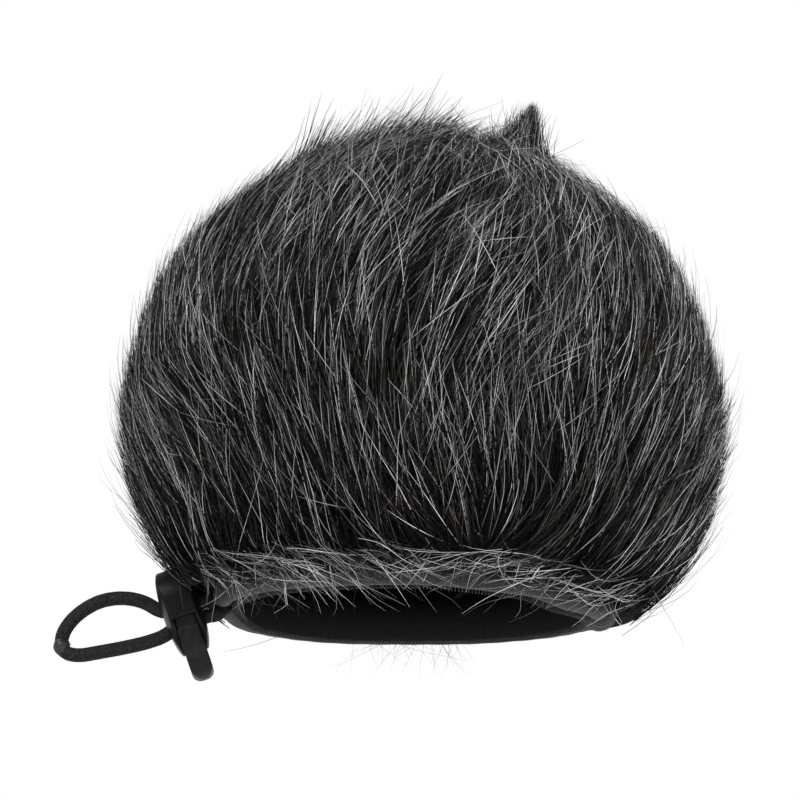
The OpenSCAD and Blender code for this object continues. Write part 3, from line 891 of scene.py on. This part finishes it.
def make_cords():
    """The loop, the two strands from the channel to the lock, and the ring inside the channel."""
    cord_mat, tree, bsdf = new_material("braided_sheath", (0.012, 0.012, 0.0125), 0.8,
                                        Specular_IOR_Level=0.08)
    add_grain(tree, bsdf, 2200, 0.4, (0.005, 0.005, 0.0052), (0.019, 0.0185, 0.018))
    make_loop(cord_mat)
    exit_at = np.array([-CHANNEL_R, 0, CHANNEL_Z])
    for name, route, way in (("strand_front", LEAD_FRONT, 1), ("strand_back", LEAD_BACK, -1)):
        a = math.radians(180 + way * EXIT_DEG)
        start = np.array([CHANNEL_R * math.cos(a), CHANNEL_R * math.sin(a), CHANNEL_Z])
        points = [start] + [exit_at + np.array(q) * MM for q in route]
        points += [from_lock(LEAD_IN, 0, way * STRAND_HALF), from_lock(LEAD_OUT, 0, way * STRAND_HALF)]
        strand, _ = braided_cord(name, rounded(points), CORD_R, [cord_mat])
        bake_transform(strand)
        if way == 1:
            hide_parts("drawcord_leads")
    circle = arc_points(CHANNEL_R, CHANNEL_Z, CORD_R, 0, 345, 24)
    ring = ring_sweep("drawcord_in_channel", circle, EXIT_DEG - 180, 180 - EXIT_DEG, [cord_mat], 0.02 * MM)
    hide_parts("drawcord_ring")


# ---- cord lock ----
def round_off(obj, voxel, passes, grow):
    """Rounds a CAD piece's edges without changing its mesh; grow gives back what smoothing takes."""
    remesh = obj.modifiers.new("even_mesh", "REMESH")
    remesh.mode = "VOXEL"
    remesh.voxel_size = voxel
    remesh.use_smooth_shade = True
    smooth = obj.modifiers.new("soft_edges", "SMOOTH")
    smooth.factor = 0.5
    smooth.iterations = passes
    swell = obj.modifiers.new("keep_size", "DISPLACE")
    swell.strength = grow
    swell.mid_level = 0


def make_lock():
    """Materials and soft edges for the lock's two CAD pieces."""
    plastic, tree, bsdf = new_material("satin_plastic", (0.0045, 0.0045, 0.0048), 0.36,
                                       Specular_IOR_Level=0.07)
    add_grain(tree, bsdf, 1100, 0.12, (0.0025, 0.0025, 0.0027), (0.005, 0.005, 0.0053))
    # Painted light: the plunger's plastic is the body's plastic made lighter, as the lock's lower end
    # catches more light
    painted_lit_plastic, tree, bsdf = new_material("plunger_plastic", (0.009, 0.009, 0.0094), 0.42,
                                      Specular_IOR_Level=0.1)
    add_grain(tree, bsdf, 900, 0.15, (0.0035, 0.0035, 0.0037), (0.007, 0.007, 0.0074), stretch=(1, 1, 0.2))
    for name, mat in (("lock_body", plastic), ("lock_plunger", painted_lit_plastic)):
        obj = frame["nodes"][name]
        obj.data.materials.clear()
        obj.data.materials.append(mat)
        round_off(obj, 0.13 * MM, 16, 0.07 * MM)


def make_spring():
    """Coil spring over the plunger, squeezed between it and the body."""
    steel, tree, bsdf = new_material("spring_wire", (0.16, 0.16, 0.165), 0.42, Metallic=1.0)
    add_grain(tree, bsdf, 1500, 0.1, (0.45, 0.45, 0.46), (0.62, 0.62, 0.63))
    turns = 3
    wire_r, coil_r = 0.22, 1.4               # these and the two heights are in millimetres
    low, high = 4.87, 8.2                    # in the lock's frame: its ends on the plunger and on the body
    coil = []
    for t in np.linspace(0, 1, 30 * turns):
        a = 2 * math.pi * turns * t
        coil.append(from_lock(coil_r * math.cos(a), coil_r * math.sin(a), low + (high - low) * t))
    spring = tube_bundle("coil_spring", np.array(coil)[None], wire_r * MM, 10, [steel], None)
    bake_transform(spring)
    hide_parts("lock_spring")


set_camera()
set_stage()
make_cords()
make_lock()
make_spring()
make_cuff()
make_shells()
make_pile()
